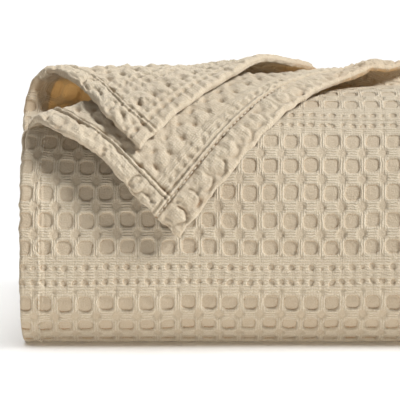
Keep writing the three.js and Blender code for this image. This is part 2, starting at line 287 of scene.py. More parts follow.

# %% [markdown]
# One cell. Each floor is a square with soft corners, a little different in size and place from its
# neighbours, which d measures: it is 0 at the floor's edge and grows outwards. The cord's wall, its
# ridge, the blocks and the pads all follow from d, u and v. The rows that roll under the front are
# pressed together there, so a slit is left at the foot of each of their floors, which the finish
# paints darker as painted shade.

# %% Height of a cell
def cell_height(s, t, u, v, column, j):
    a = 3.08 + 0.36 * (chance(column, j, 1) - 0.5)
    b = 3.2 + 0.4 * (chance(column, j, 2) - 0.5)
    du = np.abs(u + 0.5 * (chance(column, j, 3) - 0.5))
    dv = np.abs(v + 0.5 * (chance(column, j, 4) - 0.5))
    k = 6.0                    # how sharply the sides and the cut corners of a floor meet
    cut = 0.76 + 0.08 * chance(column + np.sign(u) * 0.3, j + np.sign(v) * 0.3, 8)
    d = np.exp(k * (du - a)) + np.exp(k * (dv - b)) + np.exp(k * (du + dv - cut * (a + b)) / 1.3)
    d = np.log(d) / k
    wall = smooth((d + 0.25) / 0.7)
    low = 0.02 + 0.16 * chance(column, j, 5)
    pillow = np.clip(1 - (du / a) ** 6, 0, 1) * np.clip(1 - (dv / b) ** 6, 0, 1)
    low += 0.14 * pillow
    cell = low + (0.88 - low) * wall + 0.1 * bell(d - 0.6, 0.4)
    block = smooth((np.abs(v) - 3.5) / 0.5) * (1 - smooth((np.abs(u) - 2.0) / 0.5))
    cell += 0.14 * block
    uc, vc = from_pad(u, v)
    r = ((uc / 2.45) ** 1.35 + (vc / 3.15) ** 1.35) ** (1 / 1.35)
    pad = 1 - smooth((r - 0.78) / 0.2)
    meet = np.floor((s - FIRST_COLUMN) / CELL_W), np.floor((t - FIRST_ROW) / CELL_H)
    cell = mix(cell, 0.34 + 0.24 * chance(*meet, 6) + 0.1 * (1 - r), pad)
    cell += 0.13 * bell(r - 1.02, 0.13)
    hole = hollow(u + CELL_W / 2 * np.where(u < 0, 1, -1) - 1.5, vc, 0.5, 0.9, 0.8)
    cell -= 0.35 * hole * (chance(*meet, 7) > 0.55)
    slit = bell(v + b - 0.35, 0.5) * (1 - smooth((np.abs(u) - 0.6 * a) / 0.6))
    slit = slit * (1 - smooth((t - 14) / 34)) * (0.6 + 0.4 * chance(column, j, 10))
    return cell, d, pad, block, slit, meet


# %% [markdown]
# The woven stripe. It is ribbed cloth crossed by a row of knots, with two rows of pits and, beside
# the last cells, a row of half hollows. The pits lean to either side, because the threads that
# make them are pulled unevenly, and off_pit tells how far a point is from the nearest one.

# %% Height of the stripe
def stripe_height(s, t, u, band):
    ub = np.abs(np.abs(u) - CELL_W / 2)
    stripe = 0.88 + 0.05 * np.cos(band * 2 * math.pi / 2.2)
    knots = np.cos(2 * math.pi * (s / 4.5 + 0.12 * noise(s / 3.1, t / 2.0, 23)))
    stripe += 0.16 * knots * bell(band - 11.9, 1.6)
    lean = 0.5 * noise(s / 2.2, t / 60, 24)
    slant = (band - 8.9) * 0.8 * noise(s / 2.6, t / 60, 27)
    stripe -= 0.5 * (1 - smooth((ub / 1.9 + np.abs(band - 5.4) / 2.2 - 0.35) / 0.6))
    low_mid, low_side = u + lean + slant, ub - lean + slant
    high_mid, high_side = u + 0.4 * lean, ub - lean
    stripe -= 0.7 * hollow(low_mid, band - 8.9, 1.3, 1.5)
    stripe -= 0.6 * hollow(low_side, band - 9.0, 1.2, 1.35)
    stripe = stripe - 0.3 * bell(band - 11.95, 0.4) - 0.3 * bell(band - 13.5, 0.35)
    stripe -= 0.75 * hollow(high_mid, band - 15.4, 1.5, 1.5)
    stripe -= 0.45 * hollow(high_side, band - 15.2, 1.05, 1.05)
    stripe = stripe - 0.22 * bell(band - 17.4, 0.35) - 0.5 * hollow(ub, band - 20.2, 0.8, 0.7, 0.8)
    off_pit = np.minimum.reduce([
        np.hypot(low_mid, band - 8.9) - 1.25, np.hypot(low_side, band - 9) - 1.15,
        np.hypot(high_mid, band - 15.4) - 1.4, np.hypot(high_side, band - 15.2) - 0.9])
    return stripe, knots, np.minimum(off_pit, 2.2)


# %% [markdown]
# Both together. weave() gives all that the meshes and the finish need at each flat point. On the
# back of the cloth a floor stands out as a soft puff, with deep pits between, which shows where a
# corner is turned over.

# %% The weave
def weave(s, t):
    """Height of the face, run of its threads, way off a floor, height of the back, and slits."""
    s, t, u, v, band, column, j = woven_place(s, t)
    cell, d, pad, block, slit, meet = cell_height(s, t, u, v, column, j)
    stripe, knots, off_pit = stripe_height(s, t, u, band)
    in_stripe = smooth((np.minimum(band, STRIPE - band) - 3.5) / 0.7)
    slit = slit * (1 - in_stripe)
    height = mix(cell - 0.3 * slit, stripe, in_stripe)
    height += 0.09 * noise(s / 1.7, t / 1.3, 21) + 0.07 * noise(s / 4.1, t / 3.7, 22)
    cord = smooth((np.abs(u) - 2.8) / 0.5) * (1 - smooth((np.abs(v) - 3.8) / 0.8))
    level = mix(0.5 + 0.5 * block - 0.5 * cord, 0.78 + 0.2 * knots, in_stripe)
    ring = mix(mix(d, 3.0, pad), off_pit, in_stripe)
    uc, vc = from_pad(u, v)
    puff = np.exp(-(((u / 3.3) ** 2 + (v / 4.0) ** 2) ** 1.6))
    knot = np.exp(-(((uc / 2.4) ** 2 + (vc / 2.9) ** 2) ** 1.3)) * (0.6 + 0.8 * chance(*meet, 9))
    back = 0.3 + 0.62 * puff + 0.34 * knot
    back = back - 0.62 * hollow(uc, v, 1.1, 1.5, 0.9) - 0.55 * hollow(u, vc, 1.3, 1.1, 0.9)
    back = mix(back, 0.1 + 0.7 * stripe, in_stripe)
    back += 0.18 * noise(s / 1.35, t / 1.3, 25) + 0.12 * noise(s / 3.1, t / 2.7, 26)
    return np.clip(height, -0.2, 1.12), level, ring, np.clip(back, -0.15, 1.15), slit


test_s, test_t = np.meshgrid(np.arange(0, 90, 0.5), np.arange(0, 142.2, 0.5), indexing="ij")
print("mean height of the weave", round(float(weave(test_s, test_t)[0].mean()), 2))


# %% [markdown]
# A hem is the cloth folded on itself and sewn, so it is a little thicker, its cells show only as
# faint marks or soft puffs, its edge is round, and the seam pulls a narrow groove into it. Both
# functions take the height of the weave on one face of a layer and return that of the sewn cloth,
# with how far each point lies in a hem. The front of the cloth comes first.

# %% Hems on the front of the cloth
SIDE_HEM, END_HEM, INNER_END_HEM = 9.2, 14.6, 13.4
SEAM_AT, SEAM_W = 13.9, 0.75   # the groove of the end hem's seam, from the edge


def hem_shape(s, t):
    """Waver of the side hem's seam, crumple of the cloth, and 1 inside the side hem."""
    waver = 0.5 * np.sin(t / 11 + 0.5) + 0.3 * np.sin(t / 4.3)
    rough = 0.5 * noise(s / 2.3, t / 2.6, 31) + 0.35 * noise(s / 1.2, t / 1.4, 32)
    return waver, rough, 1 - smooth((s - SIDE_HEM - 0.6 + 0.4 * waver) / 1.2)


def hem_front(layer, s, t, height):
    waver, rough, side = hem_shape(s, t)
    last = 1 - smooth((from_end(layer, t) - END_HEM) / 1.0)
    sewn = mix(height, 0.66 + 0.2 * rough, 0.12 * side)
    sewn = mix(sewn, 0.62 + 0.3 * rough, 0.6 * last)
    sewn += 0.2 * bell(s - 8.4 + 0.5 * waver, 0.55)
    broken = noise(t / 2.6, 0 * s, 33) > 0
    sewn -= 0.35 * bell(s - 9.3 + 0.5 * waver, 0.5) * broken
    return sewn, np.maximum(side, last)


print("hems", SIDE_HEM, "and", END_HEM, "mm")


# %% [markdown]
# The back of the cloth shows where a corner is turned down, close to the eye. The outer end hem
# has one round puff for each cell, dented on one side, and the inner one has squares and pits. The
# side hem is crumpled: a crease runs wherever a slow noise passes through zero.

# %% Hems on the back of the cloth
def outer_puffs(s, t, e, rough):
    u = (s - 6.5) - CELL_W * np.round((s - 6.5) / CELL_W)
    r = np.sqrt((u / 3.7) ** 2 + ((e - 7.4) / 4.7) ** 2)
    r = r + 0.24 * noise(s / 2.6, t / 2.9, 36)
    which = chance(np.round((s - 6.5) / CELL_W), 0 * s, 37)
    dent = smooth((0.45 + (u / 3.7 - (e - 7.4) / 4.7) / np.maximum(r, 0.3)) / 1.2)
    puffs = 0.62 + 0.2 * (1 - smooth((r - 0.5) / 0.4)) + 0.6 * rough
    puffs = puffs - (0.1 + (0.25 + 0.45 * which) * dent) * bell(r - 1.0, 0.17)
    return puffs + 0.2 * noise(s / 4.2 - t / 6, t / 4.4 + s / 7, 38)


def inner_puffs(s, e, rough):
    square = smooth((3.9 - np.abs(s - 3.0 - CELL_W * np.round((s - 3.0) / CELL_W))) / 0.8)
    puffs = 0.5 + 0.32 * square * (1 - smooth((np.abs(e - 3.6) - 2.2) / 1.0)) + 0.3 * rough
    u = s - CELL_W / 2 * np.round(s / (CELL_W / 2))
    puffs = puffs - 0.5 * hollow(u, e - 7.6, 1.2, 1.3, 0.8) + 0.22 * smooth((e - 8.6) / 0.8)
    return puffs - 0.45 * hollow(u - 1.5, e - 11.6, 1.1, 1.3, 0.8)


def hem_back(layer, s, t, height):
    e = from_end(layer, t)
    waver, rough, side = hem_shape(s, t)
    outer = layer is OUTER
    last = 1 - smooth((e - (END_HEM if outer else INNER_END_HEM)) / 1.0)
    height = mix(0.5, height, 0.95) + 0.22 * rough
    crease = noise(s / 6.5 + t / 17, t / 3.9 - s / 10, 34)
    fine = noise(s / 1.3, t / 1.35, 39)
    oval = hollow(s - 4.8, t - CELL_H * np.round(t / CELL_H), 3.0, 5.2, 0.9)
    sides = 0.66 + 0.12 * oval + 0.3 * np.abs(crease) + 0.3 * rough + 0.3 * fine
    sides -= 0.62 * bell(crease, 0.27) * smooth(0.6 + noise(s / 3, t / 4, 40))
    height = mix(height, sides, side)
    height = mix(height, outer_puffs(s, t, e, rough) if outer else inner_puffs(s, e, rough), last)
    if outer:
        height -= bell(e - SEAM_AT + 0.15 * waver, SEAM_W)
        height = height + 0.35 * bell(e - 15.3, 0.8) - 0.45 * bell(e - 16.7, 0.6)
    seam = np.clip(e - END_HEM + 1, 0, 1) if outer else 0.6
    at = s + 0.35 * noise(t / 6.0, 0 * s, 35)
    height -= seam * 0.5 * bell(at - 9.0, 0.5)
    height += seam * 0.28 * bell(at - 10.0, 0.55)
    return height - seam * 0.5 * bell(at - 11.1, 0.5), np.maximum(side, last)


print("seam of the end hem", SEAM_AT, "mm from the edge")


# %% [markdown]
# What else changes over a layer. Its edges are rounded and run a little crooked, because no sewn
# edge is quite straight. Light comes through where one cloth stands free: in the roll of a
# turned-down corner, and along the far part of its end hem.

# %% Edges and thin places
def rounded(off):
    """Share of the thickness at a distance from an edge: a quarter round that ends at 1."""
    return np.sqrt(np.maximum(1 - (1 - np.clip(off, 0, 1)) ** 2, 0.002))


def edge_round(layer, s, t):
    return rounded(np.minimum(s, np.minimum(from_end(layer, t), BUNDLE_W - s)) / 1.6)


def frayed(layer, s, t):
    near_side, near_end = 1 - smooth(s / 7), 1 - smooth(from_end(layer, t) / 7)
    in_s = 0.55 * noise(t / 5.2, 0 * s, 41) + 0.3 * noise(t / 2.1, 0 * s, 42)
    in_t = 0.6 * noise(s / 4.6, 0 * t, 43) + 0.3 * noise(s / 1.9, 0 * t, 44)
    return s + near_side * in_s * smooth((t - 20) / 40), t + near_end * in_t


def crest(layer, s, t):
    """1 in the standing part of the roll."""
    p, q = past_fold(layer, s, t)
    phi = (q / turn_radius(layer, p) + math.pi / 2) / math.pi
    return smooth((phi + 0.1) / 0.25) * (1 - smooth((phi - 0.55) / 0.2))


def lip(layer, s, t):
    """1 along the far part of the turned-down end hem, over the shade below it."""
    past_hem = 26 - from_end(layer, t)
    q = past_fold(layer, s, t)[1]
    return smooth((s - 95) / 30) * smooth(past_hem / 20) * smooth(q / 8)


print("edges and thin places ready")


# %% [markdown]
# From heights to a mesh. Each piece of cloth is a closed skin: a near face, a far face and a narrow
# rim. The grids are laid out on the flat cloth, so the cells, the hems and the UV map all follow
# the thread. Where the cloth is seen best the grid is finest. Each point also keeps four values for
# the finish to read: lift is its height in the weave, from which the finish paints shade into low
# places, lowered further at slits and back pits, level tells how far its threads run across, thin
# is 1 where light comes through, and ring is how far it lies off the edge of a floor or pit.

# %% Closed skins
UV_MM = 100.0                  # one unit of the UV map


def put(name, data):
    made = bpy.data.objects.new(name, data)
    bpy.context.scene.collection.objects.link(made)
    return made


def kept(count, step):
    return np.array(sorted(set(range(0, count, step)) | {count - 1}))


def skin(name, near, far, flat, values, coarse=(1, 1)):
    """A closed mesh from the grids of its two faces, of which the far one may be coarser."""
    n, m = near.shape[:2]
    rows, columns = kept(n, coarse[0]), kept(m, coarse[1])
    pick = np.ix_(rows, columns)
    ids = np.arange(n * m).reshape(n, m)
    far_ids = n * m + np.arange(len(rows) * len(columns)).reshape(len(rows), len(columns))

    def quads(g, flip):
        a, b, c, d = g[:-1, :-1], g[1:, :-1], g[1:, 1:], g[:-1, 1:]
        return np.stack([a, d, c, b] if flip else [a, b, c, d], -1).reshape(-1, 4).tolist()

    def rim(line, far_line, marks, flip):
        found = []
        for k in range(len(marks) - 1):
            face = list(line[marks[k]:marks[k + 1] + 1]) + [far_line[k + 1], far_line[k]]
            found.append(face[::-1] if flip else face)
        return found

    faces = quads(ids, False) + quads(far_ids, True)
    for side, flip in ((0, True), (-1, False)):
        faces += rim(ids[:, side], far_ids[:, side], rows, flip)
    for side, flip in ((0, False), (-1, True)):
        faces += rim(ids[side], far_ids[side], columns, flip)

    def both(a, b):
        return np.concatenate([a.reshape(n * m, -1), b[pick].reshape(len(rows) * len(columns), -1)])

    loops = np.concatenate([np.array(f, dtype=np.int32) for f in faces])
    sizes = np.array([len(f) for f in faces])
    points = (both(near, far) + SHIFT) / 1000
    mesh = bpy.data.meshes.new(name)
    mesh.vertices.add(len(points))
    mesh.vertices.foreach_set("co", points.astype(np.float32).ravel())
    mesh.loops.add(len(loops))
    mesh.loops.foreach_set("vertex_index", loops)
    mesh.polygons.add(len(faces))
    mesh.polygons.foreach_set("loop_start", (np.cumsum(sizes) - sizes).astype(np.int32))
    mesh.update(calc_edges=True)
    mesh.validate()
    uv = both(flat, flat)[loops] / UV_MM
    mesh.uv_layers.new(name="cloth").data.foreach_set("uv", uv.astype(np.float32).ravel())
    for label, pair in values.items():
        mesh.attributes.new(label, "FLOAT", "POINT").data.foreach_set(
            "value", both(*pair).astype(np.float32).ravel())
    mesh.polygons.foreach_set("use_smooth", np.ones(len(faces), bool))
    mesh.update()
    print(name, "triangles", int((sizes - 2).sum()))
    return put(name, mesh)


def steps(start, stop, step, fine=()):
    """Stations from start to stop, closer together round the places in fine."""
    line = [start + (stop - start) * i / round((stop - start) / step) for i in
            range(round((stop - start) / step) + 1)]
    for centre, reach, pitch in fine:
        line = [v for v in line if abs(v - centre) > reach - pitch / 2 or v in (start, stop)]
        line += [v for v in np.arange(centre - reach, centre + reach + 1e-6, pitch)
                 if start < v < stop]
    return np.array(sorted(set(np.round(line, 4))))


print("stations at a fine edge", steps(0, 6, 1.0, ((0, 2.0, 0.5),)))


# %% [markdown]
# One piece of a layer. The heights of both faces and of their hems are turned into thickness on
# either side of the bent cloth. The relief is deeper at the back, and where the front rolls under.

# %% A piece of a layer
def cloth(name, layer, s_line, t_line, relief=1.0, coarse=(1, 1)):
    s, t = np.meshgrid(s_line, t_line, indexing="ij")
    mid, out = layer_frame(layer, *frayed(layer, s, t))
    height, level, ring, back, slit = weave(s, t)
    near_h, near_hem = hem_front(layer, s, t, height)
    if layer is INNER:
        back = back + 0.16 * noise(s / 1.4, t / 1.5, 28)
    far_h, far_hem = hem_back(layer, s, t, back)
    rounds = edge_round(layer, s, t)
    deep = DEPTH * relief
    near_deep = mix(1.2, 0.7, smooth((t - 16) / 26)) * deep
    far_deep = (1.35 if layer is OUTER else 1.7) * deep
    extra = HEM_EXTRA / 2 * smooth((t - 2) / 12)
    near_half = (CLOTH / 2 + extra * near_hem - near_deep * (1 - near_h)) * rounds
    far_half = (CLOTH / 2 + extra * far_hem - far_deep * (1 - far_h)) * rounds
    near, far = mid + out * near_half[..., None], mid - out * far_half[..., None]
    thin = (1 - 0.75 * near_hem) * crest(layer, s, t) * (1 - smooth((s - 45) / 25))
    thin = thin if layer is INNER else 0.5 * thin
    glow = 0.65 * lip(layer, s, t)
    # Slits and back pits count as deeper than they are, so that the finish paints shade into them.
    values = {
        "lift": (near_h - 1.7 * slit, far_h - 4.0 * np.maximum(0, 0.35 - far_h)),
        "level": (level, mix(level, 0.5, 0.9 * far_hem)),
        "thin": (np.maximum(thin, glow), np.maximum(0.4 * thin, 0.25 * glow)),
        "ring": (ring, 0 * ring + 2.4),
    }
    return skin(name, near, far, np.stack([s, t], -1), values, coarse)


print("relief of the front", DEPTH * 0.7, "mm")

# %% [markdown]
# The outer layer in four parts: the front and the turned-down corner with the finest relief, the
# rest of its width, and the part under the bundle. They meet along woven lines. A single piece
# would need the fine grid everywhere and grow too heavy.

# %% The outer layer
S_SPLIT = FIRST_COLUMN + 20.5 * CELL_W
T_LOW, T_SPLIT = -8.2, 118.35
fine_side = ((0, 2.0, 0.3), (10.0, 1.8, 0.4))
front_s, corner_s = steps(0, S_SPLIT, 0.62, fine_side), steps(0, S_SPLIT, 0.66, fine_side)
rest_s = steps(S_SPLIT, BUNDLE_W, 1.125, ((BUNDLE_W, 2.0, 0.4),))
front_t = steps(T_LOW, T_SPLIT, 0.62)
corner_t = steps(T_SPLIT, outer_end, 0.67, ((outer_end - 15, 2.7, 0.33), (outer_end, 2.0, 0.35)))
rest_t = np.concatenate([front_t[::2], corner_t[::2], corner_t[-1:]])
rest_t = np.array(sorted(set(rest_t) | {T_SPLIT}))
outer_front = cloth("outer_front", OUTER, front_s, front_t, coarse=(3, 3))
outer_corner = cloth("outer_corner", OUTER, corner_s, corner_t)
outer_rest = cloth("outer_rest", OUTER, rest_s, rest_t, coarse=(2, 2))
under_s, under_t = steps(0, BUNDLE_W, 2.25), steps(T_JOIN, T_LOW, 2.35)
outer_under = cloth("outer_under", OUTER, under_s, under_t, 0.6, coarse=(3, 3))

# %% [markdown]
# The inner layer lies one cloth deeper. Only its corner, its roll and its hem show, so only that
# part gets the finest relief.

# %% The inner layer
T_INNER = 95.0
S_INNER = FIRST_COLUMN + 18.5 * CELL_W
inner_s = steps(0, S_INNER, 0.69, fine_side)
inner_t = steps(T_INNER, inner_end, 0.67, ((inner_end, 2.0, 0.35),))
inner_corner = cloth("inner_corner", INNER, inner_s, inner_t)
inner_rest = cloth("inner_rest", INNER, steps(S_INNER, BUNDLE_W, 1.8, ((BUNDLE_W, 2, 0.5),)),
                   inner_t[::2] if len(inner_t) % 2 else np.append(inner_t[::2], inner_t[-1]),
                   coarse=(2, 2))
inner_low = cloth("inner_low", INNER, steps(0, BUNDLE_W, 7.0, ((0, 2.1, 0.7), (10, 1.8, 0.6))),
                  steps(T_JOIN, T_INNER, 4.0), 0.4)


# %% [markdown]
# The pile is one long strip that goes back and forth in sixteen layers. Its turns at the back and
# its topmost layer can be seen, so the strip's stations lie close together there and far apart
# inside. The turns come in four stacks, none of them quite flush with the next: each has its own
# step back, step at the front, sway along its turn and gap at the left end.

# %% Way of the pile
ORDER = [0, 3, 4, 7, 8, 11, 12, 15, 14, 13, 10, 9, 6, 5, 2, 1]     # levels in the strip's order
TURNS = [(0.0, 0.5, 1.2, 4.0), (3.5, 0.8, -1.2, 6.5), (1.2, 0.6, 1.4, 3.5), (5.5, 1.5, -1.1, 7.5)]


def inner_front(z, inside):
    """Where a surface so far inside the wrap's front lies at height z."""
    low, high = BOTTOM_Z + REST_R, ROOF_Z - TOP_R
    if low <= z <= high:
        return FRONT_Y + inside
    r, off = (REST_R, low - z) if z < low else (TOP_R, z - high)
    return FRONT_Y + r - math.sqrt(max(0, (r - inside) ** 2 - off**2))


def pile_path():
    """Stations of the strip in side view: y, z, gap at the left end, and sway."""
    path = [(JOIN_Y - 12, BOTTOM_Z, TURNS[0][3], 0.0), (JOIN_Y + 4, BOTTOM_Z, TURNS[0][3], 0.0)]

    def level(i):
        return BOTTOM_Z + i * PITCH

    for k in range(len(ORDER) - 1):
        a, b = ORDER[k], ORDER[k + 1]
        at_back, middle = k % 2 == 0, (a + b) / 2
        place = (middle - 1.5) / 4 if at_back else min(3, (middle - 3.5) / 4)
        back, front, sway, left = TURNS[math.floor(place + 0.5)]
        r = abs(b - a) * PITCH / 2
        nest = max(r, r if middle > LAYERS - 2 else 1.5 * PITCH)
        centre = BUNDLE_D / 2 - CLOTH / 2 - 1.5 * PITCH - back
        if not at_back:
            centre = inner_front(level(middle), 2 * PITCH + nest) + front
        side, climbs = (1 if at_back else -1), (1 if b > a else -1)
        last = path[-1]
        # What can be seen, the top layer and the turns at the back, gets the most stations.
        spans = 116 if a == 15 else 4
        for i in range(1, spans):
            f = i / spans
            path.append((mix(last[0], centre, f), level(a), mix(last[2], left, f), 0.0))
        parts = 26 if at_back and r > PITCH else 5
        for i in range(parts + 1):
            w = math.pi * i / parts
            z = level(middle) - climbs * r * math.cos(w)
            path.append((centre + side * r * math.sin(w), z, left, sway * side))
    path += [(JOIN_Y + 4, level(1), TURNS[0][3], 0.0), (JOIN_Y - 12, level(1), TURNS[0][3], 0.0)]
    return np.array(path)


print("stations along the strip", len(pile_path()))

# %% [markdown]
# The strip gets its width, its sag towards the middle, and the same weave as the rest of the
# cloth. Its two faces bear the same cells, one from the front and one from the back.

# %% The pile
STRIP_W, SAG = 433.0, 2.4


def pile_strip():
    f = steps(0, 1, 2.0 / STRIP_W, ((0, 0.006, 0.0009), (1, 0.006, 0.0009)))[:, None]
    y0, z0, left, sway = pile_path().T
    long = np.concatenate([[0], np.cumsum(np.hypot(np.diff(y0), np.diff(z0)))])
    high = z0 / ROOF_Z
    z = z0 - SAG * high**2 * (1 - (2 * y0 / BUNDLE_D) ** 2) + 0 * f
    y = y0 + sway * np.sin(f * 5.2 + z0 / 19) * (z0 > 12)
    x = mix(-BUNDLE_W / 2 + left, BUNDLE_W / 2 - 3, f)
    dy, dz = np.gradient(y, axis=1), np.gradient(z, axis=1)
    size = np.hypot(dy, dz)
    out = np.stack([0 * y, -dz / size, dy / size], -1)
    s, t = x + BUNDLE_W / 2, long + 0 * f
    height, level, ring = weave(s, t)[:3]
    fat, deep = CLOTH / 2 + 0.75 * smooth((z0 - 3) / 6), 1.9
    rounds = rounded(np.minimum(f * STRIP_W, (1 - f) * STRIP_W) / 2.4)
    side = 1 - smooth((f * STRIP_W - 9) / 1.5)
    above, below = mix(height, 0.7, side), mix(1 - height, 0.7, side)
    mid = np.stack([x, y, z], -1)
    near = mid - out * ((fat - deep * (1 - above)) * rounds)[..., None]
    far = mid + out * ((fat - deep * (1 - below)) * rounds)[..., None]
    values = {"lift": (above, below), "level": (level, level), "thin": (0 * s, 0 * s),
              "ring": (ring, 0 * s + 3)}
    piece = skin("pile", near, far, np.stack([s, t], -1), values, (1, 4))
    return piece, long[-1]


pile, pile_long = pile_strip()
print("length of the strip in the pile", round(pile_long), "mm")

# %% [markdown]
# Node trees. Both the stitches and the finishes are node trees, so one method adds a node with its
# settings and its inputs, and one small class lets shader maths be written as plain expressions.

# %% Tools for node trees
class Tree:
    def __init__(self, tree):
        self.tree = tree

    def add(self, kind, settings=None, out=0, **sockets):
        node = self.tree.nodes.new(kind)
        for key, value in (settings or {}).items():
            setattr(node, key, value)
        for key, value in sockets.items():
            numbered = key[0] == "i" and key[1:].isdigit()
            spot = node.inputs[int(key[1:]) if numbered else key]
            value = value.socket if isinstance(value, Value) else value
            if isinstance(value, bpy.types.NodeSocket):
                self.tree.links.new(value, spot)
            else:
                spot.default_value = value
        return node if out is None else Value(self, node.outputs[out])


class Value:
    """One socket, with the operators that are used on it."""

    def __init__(self, owner, socket):
        self.owner, self.socket = owner, socket

    def _math(self, kind, a, b=0.0, clamp=False):
        return self.owner.add("ShaderNodeMath", {"operation": kind, "use_clamp": clamp}, i0=a, i1=b)

    def __add__(self, other):
        return self._math("ADD", self, other)

    def __sub__(self, other):
        return self._math("SUBTRACT", self, other)

    def __rsub__(self, other):
        return self._math("SUBTRACT", other, self)

    def __mul__(self, other):
        return self._math("MULTIPLY", self, other)

    __radd__, __rmul__ = __add__, __mul__

    def sine(self):
        return self._math("SINE", self)

    def clamp(self):
        return self._math("ADD", self, 0.0, True)


def colour(red, green, blue):
    return (red, green, blue, 1.0)


def ramp(t, factor, *stops):
    """A colour ramp. Each stop is its place, then its grey or its red, green and blue."""
    node = t.add("ShaderNodeValToRGB", out=None, Fac=factor)
    marks = node.color_ramp.elements
    marks.remove(marks[-1])
    for k, (where, *what) in enumerate(stops):
        mark = marks.new(where) if k else marks[0]
        mark.color, mark.position = colour(*(what * 3)[:3]), where
    return Value(t, node.outputs[0])


def new_finish(name):
    material = bpy.data.materials.new(name)
    material.use_nodes = True
    material.node_tree.nodes.clear()
    return material, Tree(material.node_tree)


print("node tools ready")

# %% [markdown]
# Stitches. A seam is one thread that dips in and out of the cloth, seen as a row of short dashes.
# They could be modelled one by one, but Geometry Nodes set them along any line: a curve along the
# seam, points at an even pitch, and one small lozenge of thread on each, turned along the curve
# and made a little uneven by a fixed seed.

# %% Stitch tree
def stitch_tree():
    tree = bpy.data.node_groups.new("stitches", "GeometryNodeTree")
    face = tree.interface
    face.new_socket("Geometry", in_out="INPUT", socket_type="NodeSocketGeometry")
    # Metres: from stitch to stitch, thickness of the thread, and length of a stitch.
    for name, value in (("Pitch", 0.0026), ("Thread", 0.00032), ("Dash", 0.001)):
        face.new_socket(name, in_out="INPUT", socket_type="NodeSocketFloat").default_value = value
    face.new_socket("Seed", in_out="INPUT", socket_type="NodeSocketInt").default_value = 3
    face.new_socket("Finish", in_out="INPUT", socket_type="NodeSocketMaterial")
    face.new_socket("Geometry", in_out="OUTPUT", socket_type="NodeSocketGeometry")
    t = Tree(tree)
    given = t.add("NodeGroupInput", out=None)
    lines, pitch, thread, dash, seed, finish = given.outputs[:6]
    curve = t.add("GeometryNodeMeshToCurve", Mesh=lines)
    points = t.add("GeometryNodeCurveToPoints", {"mode": "LENGTH"}, out=None,
                   Curve=curve, Length=pitch)
    ball = t.add("GeometryNodeMeshIcoSphere", Radius=1.0, Subdivisions=2)
    size = t.add("ShaderNodeCombineXYZ", X=thread, Y=thread, Z=dash)
    uneven = t.add("FunctionNodeRandomValue", {"data_type": "FLOAT"}, out=1, Seed=seed)
    uneven = uneven * 0.35 + 0.82
    scale = t.add("ShaderNodeVectorMath", {"operation": "SCALE"}, i0=size, Scale=uneven)
    placed = t.add("GeometryNodeInstanceOnPoints", Points=points.outputs["Points"], Instance=ball,
                   Rotation=points.outputs["Rotation"], Scale=scale)
    real = t.add("GeometryNodeRealizeInstances", Geometry=placed)
    shaded = t.add("GeometryNodeSetShadeSmooth", Geometry=real)
    done = t.add("GeometryNodeSetMaterial", Geometry=shaded, Material=finish)
    t.add("NodeGroupOutput", out=None, Geometry=done)
    return tree


stitches = stitch_tree()
print("stitch tree", len(stitches.nodes), "nodes")


# %% [markdown]
# The finish. Undyed cotton is matt and a little warm. Its floors and pads are painted a little
# darker and greyer than its cords, and the deep pits brown, as painted shade. The threads are finer
# than the mesh, so they are bump: level ribs on the blocks, upright ribs on the cords, both at
# about 1.2 mm, from the UV map, and fine fibre noise over all. Ribs could be cut from an image, but
# sines and noise follow the thread at any size. Two ramps on ring add the pale strands that run
# round each floor, as bump and as a painted highlight, and a painted shade line at its foot. A
# share of the shader lets light through, as thin cotton does: most in the raised roll at the
# hollow, and more at the end hems.

# %% Cotton
RIB_UP, RIB_LEVEL = 1.15, 1.2  # mm from rib to rib


def read(t, name):
    return t.add("ShaderNodeAttribute", {"attribute_name": name}, out=2)


def cloud(t, place, scale, detail=2.0, rough=0.6):
    return t.add("ShaderNodeTexNoise", Vector=place, Scale=scale, Detail=detail, Roughness=rough)


